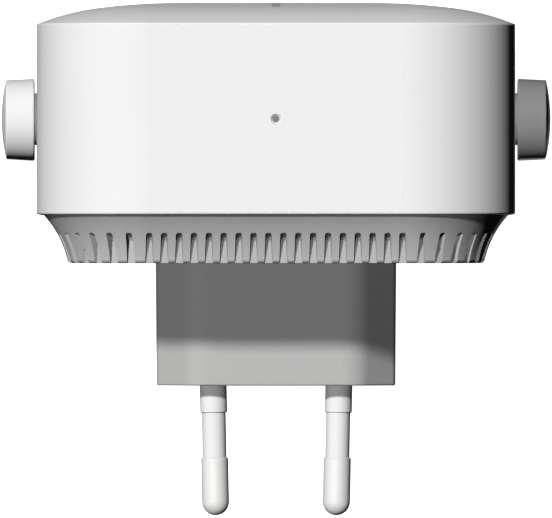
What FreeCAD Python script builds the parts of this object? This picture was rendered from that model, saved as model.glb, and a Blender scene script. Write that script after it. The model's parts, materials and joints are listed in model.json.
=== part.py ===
import FreeCAD, Part
import math
import os

# A plug-in wireless range extender with two fold-out antennas, one file per physical piece.
#
# Pieces are drawn lying on a bench with the plug pins down: X is the width, Y the height as
# plugged in, Z the depth out of the wall, and Z = 0 is the plug face between the pins.
# stand_up() then turns each one into the part's own frame: +Z up, +Y into the wall socket.
# All sizes are in millimetres. "offset" is a distance inwards from the body's widest outline.

Vector = FreeCAD.Vector
X_AXIS = Vector(1, 0, 0)
Y_AXIS = Vector(0, 1, 0)
Z_AXIS = Vector(0, 0, 1)

# ---------------------------------------------------------------- driving dimensions
# Plug: two 4 mm pins that lean in towards each other
PIN_PITCH = 18.6
PIN_PITCH_TIP = 17.8
PIN_LENGTH = 19.2
PIN_R = 2.0
PIN_CORE_R = 1.25
PIN_TAIL = 7.0
PIN_EDGE = 0.15
COLLAR_R = 2.0
COLLAR_LENGTH = 4.0
SLEEVE_R = 1.77
SLEEVE_LENGTH = 10.65

# Plug block: long bevelled prism that reaches down into a recessed socket
BLOCK_W = 35.3
BLOCK_T = 13.7
BLOCK_DEPTH = 18.1
BLOCK_DRAFT = 0.15
BLOCK_BEVEL = 5.6
BLOCK_SIDE_R = 5.0
BLOCK_END_R = 1.5
BLOCK_WALL = 2.0
BLOCK_FLOOR = 2.5
BLOCK_INNER_R = 0.3
PIN_SOCKET_R = 2.8
PIN_SOCKET_Z = 4.5
PIN_SOCKET_T = 3.0
FLANGE = 1.9
FLANGE_T = 1.5
STRIP_Z = 5.1
STRIP_X = 13.4
STRIP_W = 3.0
STRIP_T = 0.6
STRIP_EYE_R = 2.3

# Body: rounded rectangle in plan, with a flared vented skirt, a straight band and a low dome
BODY_W = 70.2
BODY_H = 92.0
CORNER_R = 16.6
BACK_Z = BLOCK_DEPTH
RIM_Z = 25.23
CREASE_Z = 53.15
CROWN_Z = 56.34
MID_Z = 39.15
WALL = 1.8
PLATE_T = 1.8
EDGE_R = 0.3

# Dome: a section of two arcs, tighter beside the crease, that flattens out into a level crown
DOME_EDGE_SLOPE = math.radians(22.2)
DOME_EDGE_R = 35.8
DOME_BREAK_SLOPE = math.radians(7)

# Skirt: offsets of its outer face at the rim, half way down and above the bottom rounding
SKIRT_TOP = 0.95
SKIRT_MID = 3.25
SKIRT_MID_Z = 21.95
SKIRT_LOW = 4.42
SKIRT_LOW_Z = 18.85
SKIRT_FOOT = 5.3
SKIRT_ROUND = 4.65
SKIRT_ROUND_Z = 18.3
SKIRT_INNER = 4.7
LIP_ROOM = 0.05
LIP_ROOT = 0.6
LIP_T = 1.0
LIP_TOP_Z = 27.6

# Vent slots: arched and scooped at the top, open at the bottom, all the way round the skirt
SLOT_W = 1.02
SLOT_W_Z = 18.9
SLOT_FLARE = 0.15
SLOT_TAPER = 0.088
SLOT_TOP_Z = 22.58
SLOT_FLOOR = 4.95
SCOOP_R = 1.45
SCOOP_LOW_Z = 20.7
SCOOP_SLOPE = math.radians(24)
SLOT_GAPS_ENDS = 17
SLOT_GAPS_SIDES = 27
SLOT_GAPS_CORNER = 7
LINER_T = 1.0
LINER_TOP_Z = 26.0

# Blank shallow recess in the back plate
RECESS_W = 34.0
RECESS_L = 15.0
RECESS_Y = -24.0
RECESS_R = 1.5
RECESS_DEEP = 0.3

# Antennas: paddles on hinge stubs through the body's sides, hanging down when folded
HINGE_Y = 12.0
HINGE_Z = 39.33
PADDLE_GAP = 0.45
PADDLE_R = 5.95
PADDLE_LENGTH = 61.0
PADDLE_EDGE = 4.2
PADDLE_CROWN = 4.85
PADDLE_DRAFT = 0.2
PADDLE_LEAN = 0.55    # degrees, so the free end stands clear of the body
PADDLE_WALL = 1.0
PADDLE_ROOF = 0.6
PADDLE_EDGE_R = 0.25
PADDLE_BACK_T = 1.0
STUB_R = 3.83
STUB_FIT = 0.07
NECK_R = 3.0
NECK_LENGTH = 1.3
STUB_HEAD_R = 3.6
STUB_HEAD_T = 1.1
STUB_BORE_R = 1.2
WASHER_R = 5.3
WASHER_T = 0.3
CLIP_R = 5.2
CLIP_T = 0.8
CLIP_MOUTH_W = 4.8
COAX_R = 0.55
COAX_JOIN = 1.6
CONNECTOR_R = 1.4
CONNECTOR_T = 1.5
ELEMENT_W = 7.6
ELEMENT_T = 0.8
ELEMENT_LENGTH = 40.0
ELEMENT_TOP = 13.5
ELEMENT_Z = 2.0

# Boards and what stands on them
PSU_Z = 28.0
PSU_T = 1.6
PSU_W = 36.0
PSU_LOW_Y = -17.0
PSU_HIGH_Y = 32.0
PSU_POST_R = 2.0
PSU_POSTS = [(x, y) for x in (-14, 14) for y in (-13, 28)]
MAIN_Z = 44.0
MAIN_T = 1.2
MAIN_W = 59.6
MAIN_L = 86.0
MAIN_CORNER_R = 12.0
COVER_Z = 42.6
COVER_T = 0.6
COVER_LOW_Y = -12.0
COVER_HIGH_Y = 31.8

# Transformer: an E core with its winding round the centre leg, on a pinned bobbin
CORE_Y = 10.0
CORE_W = 15.0
CORE_D = 14.0
CORE_H = 11.0
LEG_W = 5.2
WINDOW_W = 3.6
YOKE_T = 2.0
WOUND_W = 12.0
WOUND_D = 17.5
WOUND_R = 2.0
BOBBIN_W = 13.0
BOBBIN_D = 18.0
BOBBIN_T = 1.0
BOBBIN_PIN_R = 0.35
BOBBIN_PIN_LOW = 1.5
BOBBIN_PINS = [(x, y) for x in (-4, 0, 4) for y in (2, 18)]

# Components: x, y, width, height and thickness on their board
BRIDGE = (12, 15, 6.4, 4.6, 2.4)
CONTROLLER = (12, 5, 6.0, 5.0, 1.6)
OPTOCOUPLER = (-12, 2, 6.4, 4.6, 3.2)
PROCESSOR = (10, 2, 11, 11, 1.1)
RADIO = (-10, 2, 9, 9, 1.0)
MEMORY = (10, -22, 8, 8, 1.0)
# Capacitors: x, y, radius and height
BULK_CAPACITORS = [(-13, 17, 4.0, 12.0), (-13, 26.5, 4.0, 12.0)]
OUTPUT_CAPACITOR = (12, -6, 3.2, 9.5)
CRIMP_R = 0.4
CRIMP_DEEP = 0.25
CRIMP_LIFT = 1.6
# Round parts lying or standing on the board: x, y, radius and length
RESISTOR = (12, 22, 1.5, 7.0)
RESISTOR_LIFT = 0.5
LEG_R = 0.3
LEG_INSET = 0.6
CHOKE = (2, 26, 3.2, 7.2)
CHOKE_WAIST_R = 2.4
CHOKE_FLANGE_T = 1.2
LINK_Y = -14.5
LINK_PITCH = 2.54
LINK_PIN_W = 0.64

# Shield cans, each with a thermal pad to the heatsink
CAN_X = 10.0
CAN_Y = 2.0
CAN_W = 17.0
CAN_L = 20.0
CAN_H = 2.4
CAN_CORNER_R = 0.8
CAN_SKIN = 0.2
PAD_SIDE = 12.0
PAD_T = 0.5
SINK_W = 40.0
SINK_L = 34.0
SINK_BASE = 1.2
SINK_H = 3.8
FINS = 9
FIN_T = 0.9
FIN_PITCH = 4.0

# Sockets, buttons and the light window
JACK_X = -6.0
JACK_W = 16.0
JACK_LOW_Z = 32.4
JACK_DEPTH = 15.9
JACK_SKIN = 0.25
JACK_ROOM = 0.15
JACK_RECESS = 0.3
SOCKET_W = 11.8
SOCKET_LOW_Z = 35.3
SOCKET_HIGH_Z = 42.9
SOCKET_DEPTH = 13.2
STEP_W = 6.2
STEP_DROP = 1.5
LATCH_W = 3.4
LATCH_DROP = 2.4
CONTACTS = 8
CONTACT_PITCH = 1.02
CONTACT_R = 0.22
CONTACT_LENGTH = 11.3
CONTACT_ROOT = 0.7
CONTACT_RISE = 0.12
CONTACT_Z = 41.5
MAGNETICS_W = 12.7
MAGNETICS_L = 7.0
MAGNETICS_T = 4.2
MAGNETICS_Y = -22.5
WPS_X = 11.0
WPS_R = 3.1
WPS_PROUD = 0.6
WPS_RIM_R = 0.4
RESET_HOLE_R = 0.5
SWITCH_W = 6.2
SWITCH_DEPTH = 3.5
SWITCH_BELOW = 3.1
RESET_FACE_Y = 38.5
WPS_FACE_Y = -36.5
PLUNGER_R = 0.9
PLUNGER_SUNK = 1.0
PLUNGER_ROOM = 1.6
RESET_PLUNGER = 4.4
WPS_PLUNGER = 2.8
BUTTON_FLANGE = 1.0
BUTTON_FLANGE_T = 0.9
BUTTON_STEM_R = 1.6
LIGHT_W = 1.2
LIGHT_LOW_Y = 28.0
LIGHT_HIGH_Y = 36.5
LIGHT_FOOT = 0.8
LIGHT_FOOT_T = 1.2
LIGHT_LIFT = 0.3
LED_PLACES = (30.0, 34.5)
LED_W = 1.0
LED_L = 1.8
LED_T = 0.7

# Fasteners
BOSS_X = 22.9
BOSS_Y = 33.8
BOSS_R = 3.0
BOSS_FOOT_R = 3.5
POST_TOP_DROP = 1.9
SCREW_R = 1.25
SCREW_LENGTH = 16.0
SCREW_HOLE = 12.0
SCREW_HEAD_R = 2.3
SCREW_HEAD_T = 1.5
SCREW_SEAT_Z = 20.9
SCREW_HEAD_ROOM = 0.4
SCREW_ROOM = 0.2
BOARD_BOSS_X = 25.5
BOARD_BOSS_Y = -5.0
BOARD_BOSS_R = 2.5
BOARD_SCREW_R = 0.9
BOARD_SCREW_LENGTH = 6.0
BOARD_SCREW_HOLE = 6.5
BOARD_SCREW_HEAD_R = 1.8
BOARD_SCREW_HEAD_T = 1.2
# A pan head's rounding and cross recess, as shares of the head
HEAD_ROUND = 0.45
CROSS_DEPTH = 0.6
CROSS_ARM = 0.62
CROSS_HALF_W = 0.2

FIT = 0.02      # radial room where a fixed piece sits in its hole
GAP = 0.1       # room between pieces that only lie beside each other
SEAT = 0.05     # room between pieces that are clamped or pressed together
OVER = 1.0      # how far a cut, or a joined solid, runs past the face that it meets
HAIR = 0.001    # what a round end's radius is short of its half width, so no side has zero length

# ---------------------------------------------------------------- derived places
HALF_W = BODY_W / 2
HALF_H = BODY_H / 2
CENTRE_X = HALF_W - CORNER_R
CENTRE_Y = HALF_H - CORNER_R
PLATE_Z = BACK_Z + PLATE_T
DOME_EDGE_RISE = DOME_EDGE_R * (math.cos(DOME_BREAK_SLOPE) - math.cos(DOME_EDGE_SLOPE))
DOME_EDGE_RUN = DOME_EDGE_R * (math.sin(DOME_EDGE_SLOPE) - math.sin(DOME_BREAK_SLOPE))
DOME_R = (CROWN_Z - CREASE_Z - DOME_EDGE_RISE) / (1 - math.cos(DOME_BREAK_SLOPE))
DOME_RUN = DOME_EDGE_RUN + DOME_R * math.sin(DOME_BREAK_SLOPE)
PADDLE_X = HALF_W + PADDLE_GAP
PADDLE_MID_Y = HINGE_Y + PADDLE_R - PADDLE_LENGTH / 2
HINGE_V = HINGE_Y - PADDLE_MID_Y
PSU_TOP = PSU_Z + PSU_T
MAIN_TOP = MAIN_Z + MAIN_T
CAN_TOP = MAIN_TOP + CAN_H
SINK_Z = CAN_TOP + PAD_T
JACK_FRONT_Y = -HALF_H + JACK_RECESS
SOCKET_END_Y = JACK_FRONT_Y + SOCKET_DEPTH
POST_TOP_Z = CROWN_Z - POST_TOP_DROP


# ---------------------------------------------------------------- drawing helpers
def box(x0, x1, y0, y1, z0, z1):
    return Part.makeBox(x1 - x0, y1 - y0, z1 - z0, Vector(x0, y0, z0))


def block_at(x, y, width, height, z0, z1):
    """A box centred on (x, y)."""
    return box(x - width / 2, x + width / 2, y - height / 2, y + height / 2, z0, z1)


def rod(radius, start, axis, length):
    return Part.makeCylinder(radius, length, Vector(*start), axis)


def tube(inner, outer, start, axis, length):
    return rod(outer, start, axis, length).cut(rod(inner, start, axis, length))


def flat_edges(solid, z):
    """The edges that lie wholly at one height."""
    return [e for e in solid.Edges if abs(e.BoundBox.ZMin - z) < 0.01 and e.BoundBox.ZLength < 0.01]


def upright_edges(solid):
    return [e for e in solid.Edges if max(e.BoundBox.XLength, e.BoundBox.YLength) < 0.01]


def join(*shapes):
    first, *others = shapes
    return first.fuse(others).removeSplitter() if others else first


def rounded_polygon(corners, radii, z):
    """A closed wire at height z through the corners, each one rounded to its own radius."""
    points = [Vector(x, y, z) for x, y in corners]
    edges = []
    starts = []
    ends = []
    for i, (corner, radius) in enumerate(zip(points, radii)):
        back = (points[i - 1] - corner).normalize()
        on = (points[(i + 1) % len(points)] - corner).normalize()
        half = back.getAngle(on) / 2
        inward = (back + on).normalize()
        starts.append(corner + back * (radius / math.tan(half)))
        ends.append(corner + on * (radius / math.tan(half)))
        middle = corner + inward * (radius / math.sin(half) - radius)
        edges.append(Part.Arc(starts[-1], middle, ends[-1]).toShape())
    straights = []
    for i, end in enumerate(ends):
        following = starts[(i + 1) % len(starts)]
        straights.append(Part.makeLine(end, following))
    return Part.Wire(Part.__sortEdges__(edges + straights))


def rounded_slab(half_x, half_y, radius, z0, z1):
    corners = [(half_x, half_y), (-half_x, half_y), (-half_x, -half_y), (half_x, -half_y)]
    wire = rounded_polygon(corners, [radius] * 4, z0)
    return Part.Face(wire).extrude(Vector(0, 0, z1 - z0))


def profile(*steps):
    """A flat face in the XZ plane. A step is (x, z), or (x, z, x, z) for an arc through the first.
    Steps that would end where they start are left out."""
    here = Vector(steps[0][0], 0, steps[0][1])
    first = here
    edges = []
    for step in steps[1:]:
        end = Vector(step[-2], 0, step[-1])
        if len(step) == 4:
            edges.append(Part.Arc(here, Vector(step[0], 0, step[1]), end).toShape())
        elif here.distanceToPoint(end) > HAIR:
            edges.append(Part.makeLine(here, end))
        here = end
    edges.append(Part.makeLine(here, first))
    return Part.Face(Part.Wire(edges))


def sweep_round(face, half_x, half_y, radius):
    """Carries a profile round a rounded rectangle. The profile's x = 0 is the corners' centre,
    and its straight inner side is filled across the middle."""
    run_x = half_x - radius
    run_y = half_y - radius
    low, high = face.BoundBox.ZMin, face.BoundBox.ZMax
    pieces = []
    if run_x > 0 and run_y > 0:
        pieces.append(box(-run_x, run_x, -run_y, run_y, low, high))
    for turn in (0, 90, 180, 270):
        side, run = (run_x, run_y) if turn % 180 == 0 else (run_y, run_x)
        if run > 0:
            straight = face.copy()
            straight.translate(Vector(side, -run, 0))
            straight = straight.extrude(Vector(0, 2 * run, 0))
            straight.rotate(Vector(), Z_AXIS, turn)
            pieces.append(straight)
        corner = face.revolve(Vector(), Z_AXIS, 90)
        corner.translate(Vector(side, run, 0))
        corner.rotate(Vector(), Z_AXIS, turn)
        pieces.append(corner)
    return join(*pieces)


def capsule(width, y0, y1, z0, z1, room=0.0):
    """An upright prism on the centre line with a long round-ended outline, grown by the room."""
    half = width / 2 + room
    length = y1 - y0 + 2 * room
    solid = rounded_slab(half, length / 2, half - HAIR, z0, z1)
    solid.translate(Vector(0, (y0 + y1) / 2, 0))
    return solid


def cable(points, radius):
    """A round cable along straight runs joined by tangent arcs, as large as the runs allow."""
    stops = [Vector(*p) for p in points]
    edges = []
    here = stops[0]
    for before, corner, after in zip(stops, stops[1:], stops[2:]):
        back = before - corner
        on = after - corner
        reach = 0.45 * min(back.Length, on.Length)
        turn = math.pi - back.getAngle(on)
        back.normalize()
        on.normalize()
        bend = reach / math.tan(turn / 2)
        start = corner + back * reach
        end = corner + on * reach
        middle = corner + (back + on).normalize() * (bend / math.cos(turn / 2) - bend)
        edges.append(Part.makeLine(here, start))
        edges.append(Part.Arc(start, middle, end).toShape())
        here = end
    edges.append(Part.makeLine(here, stops[-1]))
    path = Part.Wire(edges)
    ring = Part.Wire([Part.makeCircle(radius, stops[0], stops[1] - stops[0])])
    return path.makePipeShell([ring], True, False)


def mirrored(shape):
    return shape.mirror(Vector(), X_AXIS)


def stand_up(shape):
    """From the bench frame to the part's own frame: +Z up and +Y into the wall."""
    shape = shape.copy()
    shape.rotate(Vector(), X_AXIS, 90)
    return shape


# ---------------------------------------------------------------- plug
def pin_frame(side):
    """The foot of a pin's axis on the plug face, and the direction towards its tip."""
    foot = Vector(side * PIN_PITCH / 2, 0, 0)
    tip = Vector(side * PIN_PITCH_TIP / 2, 0, -PIN_LENGTH)
    return foot, (tip - foot).normalize()


def along(foot, direction, distance):
    return foot + direction * distance


def plug_pin(side):
    foot, down = pin_frame(side)
    core = rod(PIN_CORE_R, along(foot, down, -PIN_TAIL), down, PIN_TAIL + SLEEVE_LENGTH + OVER)
    shaft = PIN_LENGTH - SLEEVE_LENGTH - PIN_R
    contact = rod(PIN_R, along(foot, down, SLEEVE_LENGTH), down, shaft)
    upper = [e for e in contact.Edges if e.BoundBox.ZMin > -SLEEVE_LENGTH - OVER]
    contact = contact.makeChamfer(PIN_EDGE, upper)
    nose = Part.makeSphere(PIN_R, along(foot, down, PIN_LENGTH - PIN_R))
    return join(core, contact, nose)


def pin_sleeve(side):
    """The moulded sleeve: a short collar at the root, then slimmer up to the bare contact."""
    foot, down = pin_frame(side)
    root = along(foot, down, -OVER)
    collar = rod(COLLAR_R, root, down, COLLAR_LENGTH + OVER)
    rims = [e for e in collar.Edges if e.BoundBox.ZMax < -COLLAR_LENGTH / 2]
    collar = collar.makeFillet(PIN_EDGE, rims)
    body = join(collar, rod(SLEEVE_R, root, down, SLEEVE_LENGTH + OVER))
    above = block_at(foot.x, 0, 4 * COLLAR_R, 4 * COLLAR_R, 0, 2 * OVER)
    return body.cut([rod(PIN_CORE_R + FIT, root, down, SLEEVE_LENGTH + OVER), above])


def block_outline(grow, z):
    half_w = BLOCK_W / 2 + grow
    half_t = BLOCK_T / 2 + grow
    bevel = BLOCK_BEVEL + grow * (2 - math.sqrt(2))
    quarter = [(half_w, half_t - bevel), (half_w - bevel, half_t)]
    corners = quarter + [(-x, y) for x, y in reversed(quarter)]
    corners += [(-x, -y) for x, y in corners]
    side_r = BLOCK_SIDE_R + grow
    end_r = max(BLOCK_END_R + grow, BLOCK_INNER_R)
    return rounded_polygon(corners, [end_r, side_r, side_r, end_r] * 2, z)


def block_solid(grow_low, grow_high, z0, z1):
    wires = [block_outline(grow_low, z0), block_outline(grow_high, z1)]
    return Part.makeLoft(wires, True, True)


def plug_block():
    outer = block_solid(0, BLOCK_DRAFT, 0, PLATE_Z)
    outer = outer.makeFillet(EDGE_R, flat_edges(outer, 0))
    flange = block_solid(FLANGE, FLANGE, PLATE_Z, PLATE_Z + FLANGE_T)
    hollow = block_solid(-BLOCK_WALL, -BLOCK_WALL, BLOCK_FLOOR, PLATE_Z + FLANGE_T)
    block = join(outer, flange).cut(hollow)
    for side in (-1, 1):
        foot, down = pin_frame(side)
        block = join(block, rod(PIN_SOCKET_R, along(foot, down, -PIN_SOCKET_Z), down, PIN_SOCKET_T))
        block = block.cut(rod(PIN_CORE_R + FIT, along(foot, down, -PIN_TAIL), down, PIN_TAIL + OVER))
    return block


def mains_contact(side):
    """A brass strip from an eye round a pin's tail, up to the power board."""
    foot, down = pin_frame(side)
    low = STRIP_Z
    half = STRIP_W / 2
    eye = rod(STRIP_EYE_R, along(foot, down, -low), down * -1, STRIP_T)
    arm = box(PIN_PITCH / 2, STRIP_X, -half, half, low, low + STRIP_T)
    riser = box(STRIP_X - STRIP_T, STRIP_X, -half, half, low, PSU_Z)
    if side < 0:
        arm = mirrored(arm)
        riser = mirrored(riser)
    strip = join(eye, arm, riser)
    return strip.cut(rod(PIN_CORE_R + FIT, along(foot, down, -PIN_TAIL - OVER), down, PIN_TAIL + OVER))


# ---------------------------------------------------------------- housings
def on_dome(slope, inset):
    """The distance in from the outline, and the height, where the dome's section has this slope."""
    if slope > DOME_BREAK_SLOPE:
        centre, radius = DOME_EDGE_R * math.sin(DOME_EDGE_SLOPE), DOME_EDGE_R
        centre_z = CREASE_Z - DOME_EDGE_R * math.cos(DOME_EDGE_SLOPE)
    else:
        centre, radius = DOME_RUN, DOME_R
        centre_z = CROWN_Z - DOME_R
    radius -= inset
    return centre - radius * math.sin(slope), centre_z + radius * math.cos(slope)


def dome_section(half, inset, last_slope):
    """A face under the dome's section, from the outline at x = half in to where it has the slope."""
    centre = DOME_EDGE_R * math.sin(DOME_EDGE_SLOPE)
    first_slope = math.asin((centre - inset) / (DOME_EDGE_R - inset))
    places = []
    for start, end in ((first_slope, DOME_BREAK_SLOPE), (DOME_BREAK_SLOPE, last_slope)):
        for slope in ((start + end) / 2, end):
            inwards, z = on_dome(slope, inset)
            places += [half - inwards, z]
    edge_z = on_dome(first_slope, inset)[1]
    side = half - inset
    return profile((0, RIM_Z), (side, RIM_Z), (side, edge_z), places[:4], places[4:], (0, places[-1]))


def dome_solid(inset):
    """The front housing filled in, drawn inside its outer face by the inset."""
    wide = dome_section(HALF_W, inset, 0).extrude(Vector(0, HALF_H - inset, 0))
    tall = dome_section(HALF_H, inset, 0).extrude(Vector(0, HALF_W - inset, 0))
    tall = tall.mirror(Vector(), Vector(1, -1, 0))
    square = box(CENTRE_X, HALF_W, CENTRE_Y, HALF_H, RIM_Z, CROWN_Z)
    end_slope = math.asin((DOME_RUN - CORNER_R) / (DOME_R - inset))
    corner = dome_section(CORNER_R, inset, end_slope).revolve(Vector(), Z_AXIS, 90)
    corner.translate(Vector(CENTRE_X, CENTRE_Y, 0))
    quarter = join(wide.common(tall).cut(square), corner)
    half = join(quarter, mirrored(quarter))
    return join(half, half.mirror(Vector(), Y_AXIS))


def front_solid():
    solid = dome_solid(0)
    return solid.makeFillet(EDGE_R, flat_edges(solid, CREASE_Z) + flat_edges(solid, RIM_Z))


def corner_places():
    return [(x, y) for x in (-BOSS_X, BOSS_X) for y in (-BOSS_Y, BOSS_Y)]


def jack_opening(room):
    x0 = JACK_X - JACK_W / 2 - room
    x1 = x0 + JACK_W + 2 * room
    return box(x0, x1, -HALF_H - OVER, -HALF_H + WALL + OVER, JACK_LOW_Z - room, MAIN_Z + room)


def front_housing():
    outer = front_solid()
    shell = outer.cut(dome_solid(WALL))
    posts = [rod(BOSS_R, (x, y, LIP_TOP_Z), Z_AXIS, POST_TOP_Z - LIP_TOP_Z) for x, y in corner_places()]
    for side in (-1, 1):
        start = (side * BOARD_BOSS_X, BOARD_BOSS_Y, MAIN_TOP)
        posts.append(rod(BOARD_BOSS_R, start, Z_AXIS, POST_TOP_Z - MAIN_TOP))
    shell = join(shell, *posts)
    holes = [rod(SCREW_R + FIT, (x, y, LIP_TOP_Z), Z_AXIS, SCREW_HOLE) for x, y in corner_places()]
    through = WALL + 2 * OVER
    for side in (-1, 1):
        hinge = (side * (HALF_W - WALL - OVER), HINGE_Y, HINGE_Z)
        boss = (side * BOARD_BOSS_X, BOARD_BOSS_Y, MAIN_TOP)
        holes.append(rod(STUB_R + STUB_FIT, hinge, X_AXIS * side, through))
        holes.append(rod(BOARD_SCREW_R + FIT, boss, Z_AXIS, BOARD_SCREW_HOLE))
    holes.append(rod(RESET_HOLE_R, (0, HALF_H - WALL - OVER, MID_Z), Y_AXIS, through))
    rim = Vector(0, HALF_H - EDGE_R, MID_Z)
    holes.append(Part.makeCone(RESET_HOLE_R, RESET_HOLE_R + EDGE_R, EDGE_R, rim, Y_AXIS))
    holes.append(rod(WPS_R + GAP, (WPS_X, -HALF_H + WALL + OVER, MID_Z), Y_AXIS * -1, through))
    holes.append(jack_opening(JACK_ROOM))
    holes.append(capsule(LIGHT_W, LIGHT_LOW_Y, LIGHT_HIGH_Y, MAIN_TOP, CROWN_Z + OVER, FIT))
    return shell.cut(holes)


def skirt_solid():
    face = profile(
        (0, BACK_Z),
        (CORNER_R - SKIRT_FOOT, BACK_Z),
        (CORNER_R - SKIRT_ROUND, SKIRT_ROUND_Z, CORNER_R - SKIRT_LOW, SKIRT_LOW_Z),
        (CORNER_R - SKIRT_MID, SKIRT_MID_Z, CORNER_R - SKIRT_TOP, RIM_Z),
        (0, RIM_Z),
    )
    return sweep_round(face, HALF_W, HALF_H, CORNER_R)


def outline_slab(offset, z0, z1):
    return rounded_slab(HALF_W - offset, HALF_H - offset, CORNER_R - offset, z0, z1)


def wall_ring(offset, thickness, z0, z1):
    """A wall that follows the body's outline, standing from z0 to z1."""
    return outline_slab(offset, z0, z1).cut(outline_slab(offset + thickness, z0, z1))


def vent_stations():
    """Where each slot starts, on the line of the corners' centres, and the way it points."""
    for turn, side, run, gaps in (
        (0, CENTRE_X, CENTRE_Y, SLOT_GAPS_SIDES),
        (90, CENTRE_Y, CENTRE_X, SLOT_GAPS_ENDS),
        (180, CENTRE_X, CENTRE_Y, SLOT_GAPS_SIDES),
        (270, CENTRE_Y, CENTRE_X, SLOT_GAPS_ENDS),
    ):
        for i in range(gaps + 1):
            yield turn, (side, -run + 2 * run * i / gaps), 0
        for i in range(1, SLOT_GAPS_CORNER):
            yield turn, (side, run), 90 * i / SLOT_GAPS_CORNER


def slot_outline(depth):
    """A slot's arched outline at a depth out from its floor. Its sides draw in towards the top."""
    low = BACK_Z - OVER
    half_low = SLOT_W / 2 + SLOT_FLARE * depth + SLOT_TAPER * (SLOT_W_Z - low)
    half_top = (half_low - SLOT_TAPER * (SLOT_TOP_Z - low)) / (1 - SLOT_TAPER)
    shoulder = SLOT_TOP_Z - half_top
    x = CORNER_R - SLOT_FLOOR + depth
    outline = ((half_top, shoulder), (-half_top, shoulder), (-half_low, low), (half_low, low))
    corners = [Vector(x, y, z) for y, z in outline]
    arch = Part.Arc(corners[0], Vector(x, 0, SLOT_TOP_Z), corners[1]).toShape()
    lines = [Part.makeLine(a, b) for a, b in zip(corners[1:], corners[2:] + corners[:1])]
    return Part.Wire([arch] + lines)


def slot_cutter():
    """One slot, pointing along +X: it widens outwards, and its floor curves out into its head."""
    deep = SLOT_FLOOR + OVER
    flared = Part.makeLoft([slot_outline(0), slot_outline(deep)], True, True)
    floor = CORNER_R - SLOT_FLOOR
    low = BACK_Z - OVER

    def on_scoop(angle):
        return floor + SCOOP_R * (1 - math.cos(angle)), SCOOP_LOW_Z + SCOOP_R * math.sin(angle)

    turn = math.pi / 2 - SCOOP_SLOPE
    head_x, head_z = on_scoop(turn)
    end_z = head_z + (floor + deep - head_x) * math.tan(SCOOP_SLOPE)
    scooped = profile(
        (floor, low),
        (floor + deep, low),
        (floor + deep, end_z),
        (head_x, head_z),
        (*on_scoop(turn / 2), floor, SCOOP_LOW_Z),
    )
    scooped.translate(Vector(0, -deep / 2, 0))
    return flared.common(scooped.extrude(Vector(0, deep, 0)))


def vent_cutters():
    pattern = slot_cutter()
    cutters = []
    for turn, (x, y), angle in vent_stations():
        cutter = pattern.copy()
        cutter.rotate(Vector(), Z_AXIS, angle)
        cutter.translate(Vector(x, y, 0))
        cutter.rotate(Vector(), Z_AXIS, turn)
        cutters.append(cutter)
    return cutters


def rear_housing():
    shell = skirt_solid().cut(outline_slab(SKIRT_INNER, PLATE_Z, RIM_Z))
    lip = wall_ring(WALL + LIP_ROOM, LIP_T, RIM_Z - LIP_ROOT, LIP_TOP_Z)
    tall = LIP_TOP_Z - PLATE_Z - GAP
    posts = [rod(BOSS_FOOT_R, (x, y, PLATE_Z), Z_AXIS, tall) for x, y in corner_places()]
    posts += [rod(PSU_POST_R, (x, y, PLATE_Z), Z_AXIS, PSU_Z - PLATE_Z) for x, y in PSU_POSTS]
    shell = join(shell, lip, *posts)
    room = BLOCK_DRAFT + SEAT
    cuts = [block_solid(room, room, BACK_Z - OVER, PLATE_Z + OVER)]
    for x, y in corner_places():
        cuts.append(rod(SCREW_HEAD_R + SCREW_HEAD_ROOM, (x, y, BACK_Z), Z_AXIS, SCREW_SEAT_Z - BACK_Z))
        cuts.append(rod(SCREW_R + SCREW_ROOM, (x, y, BACK_Z), Z_AXIS, LIP_TOP_Z - BACK_Z))
    recess = rounded_slab(RECESS_W / 2, RECESS_L / 2, RECESS_R, BACK_Z, BACK_Z + RECESS_DEEP)
    recess.translate(Vector(0, RECESS_Y, 0))
    cuts.append(recess)
    return shell.cut(cuts + vent_cutters())


def vent_liner():
    """The inner wall behind the slots, which keeps fingers and wires away from the mains side."""
    return wall_ring(SLOT_FLOOR, LINER_T, PLATE_Z, LINER_TOP_Z)


def light_pipe():
    """A clear bar from just above the lights up to the dome's surface, flared at its foot."""
    low = MAIN_TOP + LED_T + LIGHT_LIFT
    stem = capsule(LIGHT_W, LIGHT_LOW_Y, LIGHT_HIGH_Y, low, CROWN_Z + OVER)
    foot = capsule(LIGHT_W, LIGHT_LOW_Y, LIGHT_HIGH_Y, low, low + LIGHT_FOOT_T, LIGHT_FOOT)
    return join(stem.common(dome_solid(0)), foot)


# ---------------------------------------------------------------- power supply
def component(place, base):
    x, y, width, height, thickness = place
    return block_at(x, y, width, height, base, base + thickness)


def psu_board():
    board = box(-PSU_W / 2, PSU_W / 2, PSU_LOW_Y, PSU_HIGH_Y, PSU_Z, PSU_TOP)
    return board.cut([rod(BOBBIN_PIN_R + FIT, (x, y, PSU_Z), Z_AXIS, PSU_T) for x, y in BOBBIN_PINS])


def transformer_core():
    """Two E halves closed on each other, with a window each side of the centre leg."""
    low = PSU_TOP + BOBBIN_T
    body = block_at(0, CORE_Y, CORE_W, CORE_D, low, low + CORE_H)
    window_x = (LEG_W + WINDOW_W) / 2
    windows = [
        block_at(side * window_x, CORE_Y, WINDOW_W, CORE_D, low + YOKE_T, low + CORE_H - YOKE_T)
        for side in (-1, 1)
    ]
    return body.cut(windows)


def transformer_winding():
    low = PSU_TOP + BOBBIN_T + YOKE_T + GAP
    high = PSU_TOP + BOBBIN_T + CORE_H - YOKE_T - GAP
    wound = block_at(0, CORE_Y, WOUND_W, WOUND_D, low, high)
    wound = wound.makeFillet(WOUND_R, upright_edges(wound))
    return wound.cut(block_at(0, CORE_Y, LEG_W + GAP, CORE_D + GAP, low, high))


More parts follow.
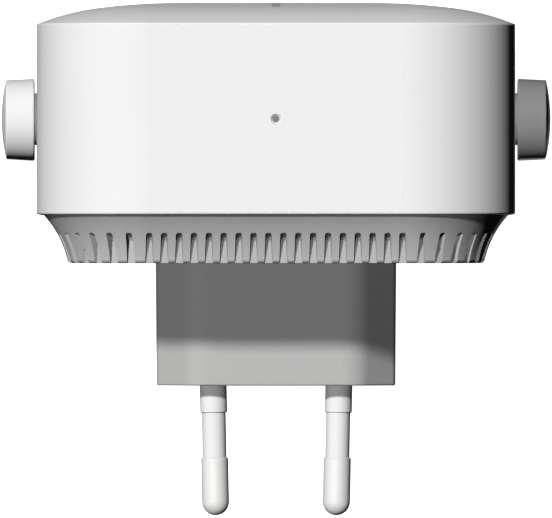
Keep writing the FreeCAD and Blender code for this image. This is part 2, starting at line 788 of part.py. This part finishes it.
def transformer_bobbin():
    """The base the transformer stands on, with a row of pins down each end."""
    base = block_at(0, CORE_Y, BOBBIN_W, BOBBIN_D, PSU_TOP, PSU_TOP + BOBBIN_T)
    low = PSU_Z - BOBBIN_PIN_LOW
    length = PSU_TOP + BOBBIN_T / 2 - low
    pins = [rod(BOBBIN_PIN_R, (x, y, low), Z_AXIS, length) for x, y in BOBBIN_PINS]
    return join(base, *pins)


def can_capacitor(place):
    x, y, radius, height = place
    body = rod(radius, (x, y, PSU_TOP), Z_AXIS, height)
    middle = radius + CRIMP_R - CRIMP_DEEP
    crimp = Part.makeTorus(middle, CRIMP_R, Vector(x, y, PSU_TOP + CRIMP_LIFT), Z_AXIS)
    return body.cut(crimp)


def bulk_capacitors():
    return Part.makeCompound([can_capacitor(place) for place in BULK_CAPACITORS])


def fusible_resistor():
    x, y, radius, length = RESISTOR
    lift = PSU_TOP + radius + RESISTOR_LIFT
    body = rod(radius, (x, y, lift), Y_AXIS, length)
    ends = (y + LEG_INSET, y + length - LEG_INSET)
    legs = [rod(LEG_R, (x, end, PSU_TOP), Z_AXIS, radius) for end in ends]
    return join(body, *legs)


def filter_choke():
    """A drum core wound between its two flanges."""
    x, y, radius, height = CHOKE
    lifts = (0, height - CHOKE_FLANGE_T)
    flanges = [rod(radius, (x, y, PSU_TOP + lift), Z_AXIS, CHOKE_FLANGE_T) for lift in lifts]
    return join(rod(CHOKE_WAIST_R, (x, y, PSU_TOP), Z_AXIS, height), *flanges)


def insulation_cover():
    """A moulded tray that keeps the mains parts apart from the radio board."""
    half = PSU_W / 2 - 2 * GAP
    outer = box(-half, half, COVER_LOW_Y, COVER_HIGH_Y, PSU_TOP, COVER_Z + COVER_T)
    inner = half - COVER_T
    hollow = box(-inner, inner, COVER_LOW_Y + COVER_T, COVER_HIGH_Y - COVER_T, PSU_TOP, COVER_Z)
    return outer.cut(hollow)


def board_link():
    """Four pins in a block that carry low voltage up to the radio board."""
    base = block_at(0, LINK_Y, 4 * LINK_PITCH, LINK_PITCH, PSU_TOP, PSU_TOP + LINK_PITCH)
    pins = [
        block_at((i - 1.5) * LINK_PITCH, LINK_Y, LINK_PIN_W, LINK_PIN_W, PSU_TOP + OVER, MAIN_Z)
        for i in range(4)
    ]
    return join(base, *pins)


# ---------------------------------------------------------------- radio board
def main_board():
    board = rounded_slab(MAIN_W / 2, MAIN_L / 2, MAIN_CORNER_R, MAIN_Z, MAIN_TOP)
    holes = [rod(BOSS_R + 3 * GAP, (x, y, MAIN_Z), Z_AXIS, MAIN_T) for x, y in corner_places()]
    for side in (-1, 1):
        place = (side * BOARD_BOSS_X, BOARD_BOSS_Y, MAIN_Z)
        holes.append(rod(BOARD_SCREW_R + SCREW_ROOM, place, Z_AXIS, MAIN_T))
    return board.cut(holes)


def shield_can(side):
    outer = block_at(side * CAN_X, CAN_Y, CAN_W, CAN_L, MAIN_TOP, CAN_TOP)
    outer = outer.makeFillet(CAN_CORNER_R, upright_edges(outer))
    inner_w, inner_l = CAN_W - 2 * CAN_SKIN, CAN_L - 2 * CAN_SKIN
    return outer.cut(block_at(side * CAN_X, CAN_Y, inner_w, inner_l, MAIN_TOP, CAN_TOP - CAN_SKIN))


def thermal_pads():
    pads = [block_at(side * CAN_X, CAN_Y, PAD_SIDE, PAD_SIDE, CAN_TOP, SINK_Z) for side in (-1, 1)]
    return Part.makeCompound(pads)


def heatsink():
    base = block_at(0, CAN_Y, SINK_W, SINK_L, SINK_Z, SINK_Z + SINK_BASE)
    fins = []
    for i in range(FINS):
        y = CAN_Y + (i - (FINS - 1) / 2) * FIN_PITCH
        fins.append(block_at(0, y, SINK_W, FIN_T, SINK_Z, SINK_Z + SINK_H))
    return join(base, *fins)


def magnetics():
    return block_at(JACK_X, MAGNETICS_Y, MAGNETICS_W, MAGNETICS_L, MAIN_Z - MAGNETICS_T, MAIN_Z)


def status_leds():
    leds = [block_at(0, y, LED_W, LED_L, MAIN_TOP, MAIN_TOP + LED_T) for y in LED_PLACES]
    return Part.makeCompound(leds)


# ---------------------------------------------------------------- socket and buttons
def jack_hollow():
    """Room for an eight-way modular plug, with the narrower steps for its latch."""
    mouth = -HALF_H - OVER
    hollow = []
    for width, drop in ((SOCKET_W, 0), (STEP_W, STEP_DROP), (LATCH_W, LATCH_DROP)):
        left, right = JACK_X - width / 2, JACK_X + width / 2
        low = SOCKET_LOW_Z - drop
        hollow.append(box(left, right, mouth, SOCKET_END_Y, low, SOCKET_HIGH_Z))
    return join(*hollow)


def jack_case(skin):
    """The jack's case, drawn inside its shield by the skin. The shield also closes its back."""
    half = JACK_W / 2 - skin
    back = JACK_FRONT_Y + JACK_DEPTH - 2 * skin
    return box(JACK_X - half, JACK_X + half, JACK_FRONT_Y, back, JACK_LOW_Z + skin, MAIN_Z - skin)


def contact_wires(radius):
    """Sprung wires that leave the hollow's end wall and slope up to its far side."""
    wires = []
    for i in range(CONTACTS):
        x = JACK_X + (i - (CONTACTS - 1) / 2) * CONTACT_PITCH
        slope = Vector(0, -1, CONTACT_RISE)
        wires.append(rod(radius, (x, SOCKET_END_Y + CONTACT_ROOT, CONTACT_Z), slope, CONTACT_LENGTH))
    return wires


def ethernet_jack_body():
    return jack_case(JACK_SKIN).cut([jack_hollow()] + contact_wires(CONTACT_R + FIT))


def ethernet_contacts():
    return Part.makeCompound(contact_wires(CONTACT_R))


def ethernet_jack_shield():
    return jack_case(0).cut(jack_case(JACK_SKIN))


def side_switch(x, face_y, way):
    """A tact switch lying on its side behind the board, its plunger pointing along way."""
    back_y = face_y - way * SWITCH_DEPTH
    low, high = sorted((face_y, back_y))
    body = box(x - SWITCH_W / 2, x + SWITCH_W / 2, low, high, MID_Z - SWITCH_BELOW, MAIN_Z)
    hole_y = face_y - way * PLUNGER_ROOM
    return body.cut(rod(PLUNGER_R + GAP, (x, hole_y, MID_Z), Y_AXIS * way, PLUNGER_ROOM + OVER))


def switch_plunger(x, face_y, way, length):
    return rod(PLUNGER_R, (x, face_y - way * PLUNGER_SUNK, MID_Z), Y_AXIS * way, length)


def wps_button():
    """The round cap, with a flange behind the wall and a stem down to the switch's plunger."""
    inner = -HALF_H + WALL + SEAT
    cap = rod(WPS_R, (WPS_X, inner, MID_Z), Y_AXIS * -1, SEAT + WALL + WPS_PROUD)
    rim = [e for e in cap.Edges if e.BoundBox.YMax < -HALF_H]
    cap = cap.makeFillet(WPS_RIM_R, rim)
    flange = rod(WPS_R + BUTTON_FLANGE, (WPS_X, inner, MID_Z), Y_AXIS, BUTTON_FLANGE_T)
    stem_end = WPS_FACE_Y + PLUNGER_SUNK - WPS_PLUNGER
    stem = rod(BUTTON_STEM_R, (WPS_X, inner, MID_Z), Y_AXIS, stem_end - inner)
    return join(cap, flange, stem)


# ---------------------------------------------------------------- coax leads
def coax_route(side):
    """From the middle of the hinge stub, round past the power board's cover to the radio board."""
    return [
        (side * (PADDLE_X - COAX_JOIN - SEAT), HINGE_Y, HINGE_Z),
        (side * 29.2, HINGE_Y, HINGE_Z),
        (side * 25.6, HINGE_Y + 2.2, HINGE_Z + 0.9),
        (side * 23.0, HINGE_Y + 5.4, HINGE_Z + 2.4),
        (side * 22.4, HINGE_Y + 9.2, HINGE_Z + 3.5),
        (side * 22.4, HINGE_Y + 12.6, HINGE_Z + 3.7),
    ]


def coax_connector(side):
    """A small round snap-on plug that presses up against the board."""
    x, y, z = coax_route(side)[-1]
    return rod(CONNECTOR_R, (x, y + CONNECTOR_R, MAIN_Z - CONNECTOR_T), Z_AXIS, CONNECTOR_T)


# ---------------------------------------------------------------- antennas
def place_paddle(shape):
    """From the paddle's own frame, lying on its inner face, to the body's right side."""
    shape = shape.copy()
    shape.rotate(Vector(), Y_AXIS, 90)
    shape.translate(Vector(PADDLE_X, PADDLE_MID_Y, HINGE_Z))
    return shape


def lean(shape):
    """Tilt a paddle piece about the paddle's hinge end, so its free end stands further out."""
    shape = shape.copy()
    shape.rotate(Vector(0, PADDLE_LENGTH / 2, 0), X_AXIS, -PADDLE_LEAN)
    return shape


def antenna_shell():
    edge = PADDLE_R - PADDLE_DRAFT
    rise = PADDLE_CROWN - PADDLE_EDGE
    radius = (edge**2 + rise**2) / (2 * rise)
    half = edge / 2
    arc_z = PADDLE_CROWN - radius + math.sqrt(radius**2 - half**2)
    face = profile((0, 0), (PADDLE_R, 0), (edge, PADDLE_EDGE), (half, arc_z, 0, PADDLE_CROWN))
    solid = sweep_round(face, PADDLE_R, PADDLE_LENGTH / 2, PADDLE_R)
    solid = solid.makeFillet(PADDLE_EDGE_R, flat_edges(solid, PADDLE_EDGE) + flat_edges(solid, 0))
    inner = PADDLE_R - PADDLE_WALL
    roof_z = PADDLE_EDGE - PADDLE_ROOF
    hollow = rounded_slab(inner, PADDLE_LENGTH / 2 - PADDLE_WALL, inner - HAIR, -OVER, roof_z)
    return place_paddle(lean(solid.cut(hollow)))


def antenna_back():
    """The paddle's inlaid inner face, with the hollow hinge stub that goes through the body's side."""
    inset = PADDLE_WALL + 2 * FIT
    half = PADDLE_R - inset
    plate = lean(rounded_slab(half, PADDLE_LENGTH / 2 - inset, half - HAIR, 0, PADDLE_BACK_T))
    down = Z_AXIS * -1
    through = PADDLE_GAP + WALL
    root = PADDLE_BACK_T / 2
    stub = rod(STUB_R, (0, HINGE_V, root), down, root + through)
    neck = rod(NECK_R, (0, HINGE_V, 0), down, through + NECK_LENGTH)
    head = Part.makeCone(STUB_HEAD_R, NECK_R, STUB_HEAD_T, Vector(0, HINGE_V, -through - NECK_LENGTH), down)
    deep = PADDLE_BACK_T + through + NECK_LENGTH + STUB_HEAD_T
    bore = rod(STUB_BORE_R, (0, HINGE_V, PADDLE_BACK_T + OVER), down, deep + 2 * OVER)
    return place_paddle(join(plate, stub, neck, head).cut(bore))


def spring_washer():
    z = -PADDLE_GAP - WALL - SEAT - WASHER_T
    return place_paddle(tube(NECK_R + GAP, WASHER_R, (0, HINGE_V, z), Z_AXIS, WASHER_T))


def retaining_clip():
    z = -PADDLE_GAP - WALL - 2 * SEAT - WASHER_T - CLIP_T
    ring = tube(NECK_R + FIT, CLIP_R, (0, HINGE_V, z), Z_AXIS, CLIP_T)
    mouth = block_at(0, HINGE_V - CLIP_R / 2, CLIP_MOUTH_W, CLIP_R, z - OVER, z + CLIP_T + OVER)
    return place_paddle(ring.cut(mouth))


def antenna_element():
    """A narrow printed strip that runs most of the paddle's length."""
    half = ELEMENT_W / 2
    low, high = ELEMENT_Z - ELEMENT_T / 2, ELEMENT_Z + ELEMENT_T / 2
    strip = box(-half, half, ELEMENT_TOP - ELEMENT_LENGTH, ELEMENT_TOP, low, high)
    return place_paddle(lean(strip))


def antenna_coax():
    route = [(0, HINGE_V, -COAX_JOIN), (0, HINGE_V, ELEMENT_Z), (0, ELEMENT_TOP, ELEMENT_Z)]
    return place_paddle(lean(cable(route, COAX_R)))


# ---------------------------------------------------------------- fasteners
def pan_screw(x, y, seat, radius, length, head_r, head_t):
    """A pan-head screw with a cross recess, its shank standing up from its seat."""
    shank = rod(radius, (x, y, seat), Z_AXIS, length)
    face = seat - head_t
    head = rod(head_r, (x, y, face), Z_AXIS, head_t)
    head = head.makeFillet(head_t * HEAD_ROUND, flat_edges(head, face))
    z0, z1 = face - OVER, face + head_t * CROSS_DEPTH
    arm = head_r * CROSS_ARM
    slot = head_r * CROSS_HALF_W
    cross = [
        box(x - arm, x + arm, y - slot, y + slot, z0, z1),
        box(x - slot, x + slot, y - arm, y + arm, z0, z1),
    ]
    return join(shank, head).cut(cross)


def housing_screws():
    screws = [
        pan_screw(x, y, SCREW_SEAT_Z, SCREW_R, SCREW_LENGTH, SCREW_HEAD_R, SCREW_HEAD_T)
        for x, y in corner_places()
    ]
    return Part.makeCompound(screws)


def board_screws():
    sizes = (BOARD_SCREW_R, BOARD_SCREW_LENGTH, BOARD_SCREW_HEAD_R, BOARD_SCREW_HEAD_T)
    screws = [pan_screw(side * BOARD_BOSS_X, BOARD_BOSS_Y, MAIN_Z, *sizes) for side in (-1, 1)]
    return Part.makeCompound(screws)


# ---------------------------------------------------------------- the assembly
def all_pieces():
    pieces = {
        "front_housing": front_housing(),
        "rear_housing": rear_housing(),
        "vent_liner": vent_liner(),
        "plug_block": plug_block(),
        "light_pipe": light_pipe(),
        "psu_board": psu_board(),
        "transformer_core": transformer_core(),
        "transformer_winding": transformer_winding(),
        "transformer_bobbin": transformer_bobbin(),
        "bulk_capacitors": bulk_capacitors(),
        "output_capacitor": can_capacitor(OUTPUT_CAPACITOR),
        "fusible_resistor": fusible_resistor(),
        "filter_choke": filter_choke(),
        "bridge_rectifier": component(BRIDGE, PSU_TOP),
        "switching_controller": component(CONTROLLER, PSU_TOP),
        "optocoupler": component(OPTOCOUPLER, PSU_TOP),
        "insulation_cover": insulation_cover(),
        "board_link": board_link(),
        "main_board": main_board(),
        "processor_chip": component(PROCESSOR, MAIN_TOP),
        "radio_chip": component(RADIO, MAIN_TOP),
        "memory_chip": component(MEMORY, MAIN_TOP),
        "processor_can": shield_can(1),
        "radio_can": shield_can(-1),
        "thermal_pads": thermal_pads(),
        "heatsink": heatsink(),
        "magnetics": magnetics(),
        "ethernet_jack_body": ethernet_jack_body(),
        "ethernet_contacts": ethernet_contacts(),
        "ethernet_jack_shield": ethernet_jack_shield(),
        "reset_switch": side_switch(0, RESET_FACE_Y, 1),
        "reset_plunger": switch_plunger(0, RESET_FACE_Y, 1, RESET_PLUNGER),
        "wps_switch": side_switch(WPS_X, WPS_FACE_Y, -1),
        "wps_plunger": switch_plunger(WPS_X, WPS_FACE_Y, -1, WPS_PLUNGER),
        "wps_button": wps_button(),
        "status_leds": status_leds(),
        "housing_screws": housing_screws(),
        "board_screws": board_screws(),
    }
    pair = {
        "antenna_{}_shell": antenna_shell(),
        "antenna_{}_back": antenna_back(),
        "antenna_{}_element": antenna_element(),
        "antenna_{}_coax": antenna_coax(),
        "antenna_{}_washer": spring_washer(),
        "antenna_{}_clip": retaining_clip(),
    }
    for name, shape in pair.items():
        pieces[name.format("right")] = shape
        pieces[name.format("left")] = mirrored(shape)
    for side, word in ((1, "right"), (-1, "left")):
        pieces[f"plug_pin_{word}"] = plug_pin(side)
        pieces[f"pin_sleeve_{word}"] = pin_sleeve(side)
        pieces[f"mains_contact_{word}"] = mains_contact(side)
        pieces[f"board_coax_{word}"] = cable(coax_route(side), COAX_R)
        pieces[f"coax_connector_{word}"] = coax_connector(side)
    return pieces


def main():
    os.makedirs("parts", exist_ok=True)
    for name, shape in all_pieces().items():
        solids = shape.Solids
        volume = sum(s.Volume for s in solids)
        print(f"{name}: {len(solids)} solid(s), valid {shape.isValid()}, {volume:.1f} mm3")
        stand_up(shape).exportStep(f"parts/{name}.step")


main()
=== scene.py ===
import json
import math

import bpy
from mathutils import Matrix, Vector


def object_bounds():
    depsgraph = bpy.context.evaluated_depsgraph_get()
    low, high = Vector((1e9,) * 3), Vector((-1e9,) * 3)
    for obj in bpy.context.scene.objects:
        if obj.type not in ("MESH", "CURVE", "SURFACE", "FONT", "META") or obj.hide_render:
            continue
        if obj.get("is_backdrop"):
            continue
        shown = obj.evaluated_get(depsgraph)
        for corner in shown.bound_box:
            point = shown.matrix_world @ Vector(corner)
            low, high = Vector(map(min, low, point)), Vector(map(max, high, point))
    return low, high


# Looks for the plug-in wireless range extender: a finish for every CAD piece, the floor, the
# lights and the camera. The object stays in the CAD frame: +Z up, +Y into the wall.
# Lengths are in metres unless a name says otherwise.

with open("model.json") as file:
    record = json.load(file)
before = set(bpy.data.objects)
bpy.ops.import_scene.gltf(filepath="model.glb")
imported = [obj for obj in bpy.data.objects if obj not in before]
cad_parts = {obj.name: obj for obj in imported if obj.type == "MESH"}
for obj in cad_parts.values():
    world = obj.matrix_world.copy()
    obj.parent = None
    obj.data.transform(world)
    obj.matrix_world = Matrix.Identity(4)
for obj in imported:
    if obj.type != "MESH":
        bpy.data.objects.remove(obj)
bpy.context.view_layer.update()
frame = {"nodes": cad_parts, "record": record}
NODES = frame["nodes"]
RECORD = frame["record"]

# ---------------------------------------------------------------- sizes and directions
LENS_MM = 1500            # a long lens, so far edges shrink very little
SENSOR_MM = 36
VIEW_WIDTH = 0.08056      # width of the view at the height of the nearest point
VIEW_CENTRE_Y = -0.01871
CLIP_NEAR = 0.5           # clip planes, as shares of the camera's distance
CLIP_FAR = 2
KEY_TOWARDS = (0.308, -0.321, 0.896)
KEY_STRENGTH = 3.45
KEY_ANGLE = math.radians(3.7)
SHADOW_SHARE = 0.705      # how much of the key light casts shadows
LOW_TOWARDS = (-0.17, 0.17, -0.971)
LOW_STRENGTH = 4.0
AMBIENT = 0.004
FLOOR_SIZE = 6.0
FLOOR_GLOW = 1.0
FLOOR_PALE = (0.80, 0.80, 0.80)
FLOOR_PALER = (0.82, 0.82, 0.82)
WHITE = (1, 1, 1, 1)
TIN = (0.62, 0.62, 0.60, 1)
PAD_REACH = 0.16          # radius of a tinned pad, in cells of its pattern

# The colour mix node's sockets share their names, so they are picked by number
MIX_FIRST = 6
MIX_SECOND = 7
MIX_RESULT = 2


# ---------------------------------------------------------------- node helpers
def new_tree(name):
    material = bpy.data.materials.new(name)
    material.use_nodes = True
    tree = material.node_tree
    tree.nodes.clear()
    output = tree.nodes.new("ShaderNodeOutputMaterial")
    shader = tree.nodes.new("ShaderNodeBsdfPrincipled")
    tree.links.new(shader.outputs["BSDF"], output.inputs["Surface"])
    return material, tree, shader


def object_coords(tree, stretch=(1, 1, 1)):
    coords = tree.nodes.new("ShaderNodeTexCoord")
    mapping = tree.nodes.new("ShaderNodeMapping")
    mapping.inputs["Scale"].default_value = stretch
    tree.links.new(coords.outputs["Object"], mapping.inputs["Vector"])
    return mapping.outputs["Vector"]


def noise(tree, vector, scale, detail=3.0):
    node = tree.nodes.new("ShaderNodeTexNoise")
    node.inputs["Scale"].default_value = scale
    node.inputs["Detail"].default_value = detail
    tree.links.new(vector, node.inputs["Vector"])
    return node.outputs["Fac"]


def spread(tree, value, low, high):
    """Carries a 0 to 1 value over to a range."""
    node = tree.nodes.new("ShaderNodeMapRange")
    node.inputs["To Min"].default_value = low
    node.inputs["To Max"].default_value = high
    tree.links.new(value, node.inputs["Value"])
    return node.outputs["Result"]


def mixed(tree, value, first, second):
    """A colour between two, chosen by a 0 to 1 value."""
    node = tree.nodes.new("ShaderNodeMix")
    node.data_type = "RGBA"
    node.inputs[MIX_FIRST].default_value = (*first, 1)
    node.inputs[MIX_SECOND].default_value = (*second, 1)
    tree.links.new(value, node.inputs["Factor"])
    return node.outputs[MIX_RESULT]


def coloured(tree, shader, value, colour, dark, light):
    """The base colour, from dark to light times the piece's own colour."""
    both = mixed(tree, value, shade(colour, dark), shade(colour, light))
    tree.links.new(both, shader.inputs["Base Color"])


def bumped(tree, shader, height, distance):
    """Fine relief, as deep as distance."""
    node = tree.nodes.new("ShaderNodeBump")
    node.inputs["Strength"].default_value = 1.0
    node.inputs["Distance"].default_value = distance
    tree.links.new(height, node.inputs["Height"])
    tree.links.new(node.outputs["Normal"], shader.inputs["Normal"])


def shade(colour, factor):
    return tuple(min(1.0, c * factor) for c in colour)


# ---------------------------------------------------------------- finishes
def moulded_plastic(name, colour, roughness=0.75, grain=0.000004, specular=0.2):
    """Injection-moulded plastic: very fine spark-eroded grain and a faint cloudiness."""
    material, tree, shader = new_tree(name)
    coords = object_coords(tree)
    cloud = noise(tree, coords, 60.0)
    coloured(tree, shader, cloud, colour, 0.985, 1.015)
    texture = noise(tree, coords, 5200.0, 4.0)
    tree.links.new(spread(tree, texture, roughness - 0.05, roughness + 0.05), shader.inputs["Roughness"])
    shader.inputs["Specular IOR Level"].default_value = specular
    bumped(tree, shader, texture, grain)
    return material


def glossy_plastic(name, colour):
    return moulded_plastic(name, colour, roughness=0.22, grain=0.000001, specular=0.5)


def rolled_metal(name, colour):
    """Sheet, wire or plated metal with fine lines along its length."""
    material, tree, shader = new_tree(name)
    lines = noise(tree, object_coords(tree, (40, 1, 40)), 220.0, 4.0)
    coloured(tree, shader, lines, colour, 0.9, 1.08)
    tree.links.new(spread(tree, lines, 0.22, 0.40), shader.inputs["Roughness"])
    shader.inputs["Metallic"].default_value = 1.0
    bumped(tree, shader, lines, 0.000003)
    return material


def plated_pin(name, colour):
    """Pale satin plate with faint turning marks round the pin."""
    material, tree, shader = new_tree(name)
    rings = noise(tree, object_coords(tree, (1, 60, 1)), 90.0, 2.0)
    coloured(tree, shader, rings, colour, 0.97, 1.03)
    tree.links.new(spread(tree, rings, 0.50, 0.60), shader.inputs["Roughness"])
    shader.inputs["Metallic"].default_value = 0.05
    shader.inputs["Specular IOR Level"].default_value = 0.25
    bumped(tree, shader, rings, 0.000002)
    return material


def sintered(name, colour):
    """Ferrite or ceramic: hard, fine-grained and slightly speckled."""
    material, tree, shader = new_tree(name)
    coords = object_coords(tree)
    specks = noise(tree, coords, 2400.0, 6.0)
    coloured(tree, shader, specks, colour, 0.7, 1.5)
    shader.inputs["Roughness"].default_value = 0.7
    bumped(tree, shader, specks, 0.00002)
    return material


def soft_rubber(name, colour):
    material, tree, shader = new_tree(name)
    mottle = noise(tree, object_coords(tree), 900.0, 5.0)
    coloured(tree, shader, mottle, colour, 0.85, 1.15)
    shader.inputs["Roughness"].default_value = 0.8
    bumped(tree, shader, mottle, 0.00001)
    return material


def circuit_board(name, colour):
    """Solder mask over a faint pattern of tracks, with tinned pads showing through."""
    material, tree, shader = new_tree(name)
    coords = object_coords(tree)
    tracks = tree.nodes.new("ShaderNodeTexBrick")
    tracks.inputs["Scale"].default_value = 240.0
    tracks.inputs["Mortar Size"].default_value = 0.06
    tracks.inputs["Color1"].default_value = (*colour, 1)
    tracks.inputs["Color2"].default_value = (*shade(colour, 0.9), 1)
    tracks.inputs["Mortar"].default_value = (*shade(colour, 1.6), 1)
    swizzle = tree.nodes.new("ShaderNodeMapping")
    swizzle.inputs["Rotation"].default_value = (math.pi / 2, 0, 0)
    tree.links.new(coords, swizzle.inputs["Vector"])
    tree.links.new(swizzle.outputs["Vector"], tracks.inputs["Vector"])
    dots = tree.nodes.new("ShaderNodeTexVoronoi")
    dots.inputs["Scale"].default_value = 420.0
    tree.links.new(coords, dots.inputs["Vector"])
    pad = tree.nodes.new("ShaderNodeMath")
    pad.operation = "LESS_THAN"
    pad.inputs[1].default_value = PAD_REACH
    tree.links.new(dots.outputs["Distance"], pad.inputs[0])
    finish = tree.nodes.new("ShaderNodeMix")
    finish.data_type = "RGBA"
    finish.inputs[MIX_SECOND].default_value = TIN
    tree.links.new(pad.outputs["Value"], finish.inputs["Factor"])
    tree.links.new(tracks.outputs["Color"], finish.inputs[MIX_FIRST])
    tree.links.new(finish.outputs[MIX_RESULT], shader.inputs["Base Color"])
    shader.inputs["Roughness"].default_value = 0.35
    return material


def frosted_window(name, colour):
    """The light pipe's milky plastic, faintly blue even when unlit."""
    material, tree, shader = new_tree(name)
    haze = noise(tree, object_coords(tree), 700.0)
    coloured(tree, shader, haze, colour, 0.95, 1.0)
    tree.links.new(spread(tree, haze, 0.25, 0.35), shader.inputs["Roughness"])
    shader.inputs["Transmission Weight"].default_value = 0.05
    return material


FINISHES = {
    "matte_plastic": moulded_plastic,
    "gloss_plastic": glossy_plastic,
    "brushed_steel": rolled_metal,
    "aluminium": rolled_metal,
    "brass": rolled_metal,
    "chrome": plated_pin,
    "ceramic": sintered,
    "rubber": soft_rubber,
    "glass": frosted_window,
}


def make_materials():
    made = {}
    for entry in RECORD["materials"]:
        colour = tuple(entry["base_color"][:3])
        build = circuit_board if entry["slot"] == "board_green" else FINISHES[entry["class"]]
        made[entry["slot"]] = build(entry["slot"], colour)
    return made


def dress_nodes(materials):
    """Gives each piece its finish. Light doesn't bounce off the pieces, so unlit hollows stay dark."""
    for part in RECORD["subparts"]:
        node = NODES[part["node"]]
        node.visible_diffuse = False
        node.data.materials.clear()
        node.data.materials.append(materials[part["material_slot"]])


# ---------------------------------------------------------------- room
def make_floor():
    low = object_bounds()[0]
    bpy.ops.mesh.primitive_plane_add(size=FLOOR_SIZE, location=(0, 0, low.z))
    floor = bpy.context.object
    floor.name = "floor"
    floor.visible_diffuse = False
    floor.visible_glossy = False
    floor.visible_shadow = False
    material, tree, shader = new_tree("pale_floor")
    paper = noise(tree, object_coords(tree), 40.0)
    tree.links.new(mixed(tree, paper, FLOOR_PALE, FLOOR_PALER), shader.inputs["Base Color"])
    shader.inputs["Roughness"].default_value = 0.9
    shader.inputs["Emission Color"].default_value = WHITE
    shader.inputs["Emission Strength"].default_value = FLOOR_GLOW
    floor.data.materials.append(material)
    floor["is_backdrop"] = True


def sun(name, towards, strength, shadow=True, gloss=True, blockers=()):
    """A distant lamp. Where blockers are given, they are all that its light is stopped by."""
    light = bpy.data.lights.new(name, "SUN")
    light.energy = strength
    light.angle = KEY_ANGLE
    light.use_shadow = shadow
    lamp = bpy.data.objects.new(name, light)
    lamp.rotation_euler = Vector(towards).to_track_quat("Z", "Y").to_euler()
    lamp.visible_glossy = gloss
    if blockers:
        group = bpy.data.collections.new(f"{name}_blockers")
        for blocker in blockers:
            group.objects.link(blocker)
        lamp.light_linking.blocker_collection = group
    bpy.context.scene.collection.objects.link(lamp)
    lamp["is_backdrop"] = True


def make_lights():
    """One key light whose shadows are only partly dark, and a low one that lifts the back."""
    sun("key", KEY_TOWARDS, KEY_STRENGTH * SHADOW_SHARE)
    sun("key_fill", KEY_TOWARDS, KEY_STRENGTH * (1 - SHADOW_SHARE), shadow=False)
    housings = (NODES["front_housing"], NODES["rear_housing"])
    sun("low_fill", LOW_TOWARDS, LOW_STRENGTH, gloss=False, blockers=housings)
    world = bpy.data.worlds.new("studio")
    world.use_nodes = True
    background = world.node_tree.nodes["Background"]
    background.inputs["Color"].default_value = WHITE
    background.inputs["Strength"].default_value = AMBIENT
    bpy.context.scene.world = world


def make_camera():
    """Looks straight down the body's height from above, with the front dome at the top."""
    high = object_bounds()[1]
    data = bpy.data.cameras.new("camera")
    data.lens = LENS_MM
    data.sensor_width = SENSOR_MM
    distance = VIEW_WIDTH * LENS_MM / SENSOR_MM
    data.clip_start = distance * CLIP_NEAR
    data.clip_end = distance * CLIP_FAR
    camera = bpy.data.objects.new("camera", data)
    camera.location = (0, VIEW_CENTRE_Y, high.z + distance)
    camera.rotation_euler = (0, 0, math.pi)
    bpy.context.scene.collection.objects.link(camera)
    bpy.context.scene.camera = camera
    camera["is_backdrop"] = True


def main():
    bpy.context.scene.view_settings.view_transform = "Standard"
    dress_nodes(make_materials())
    make_floor()
    make_lights()
    make_camera()


main()
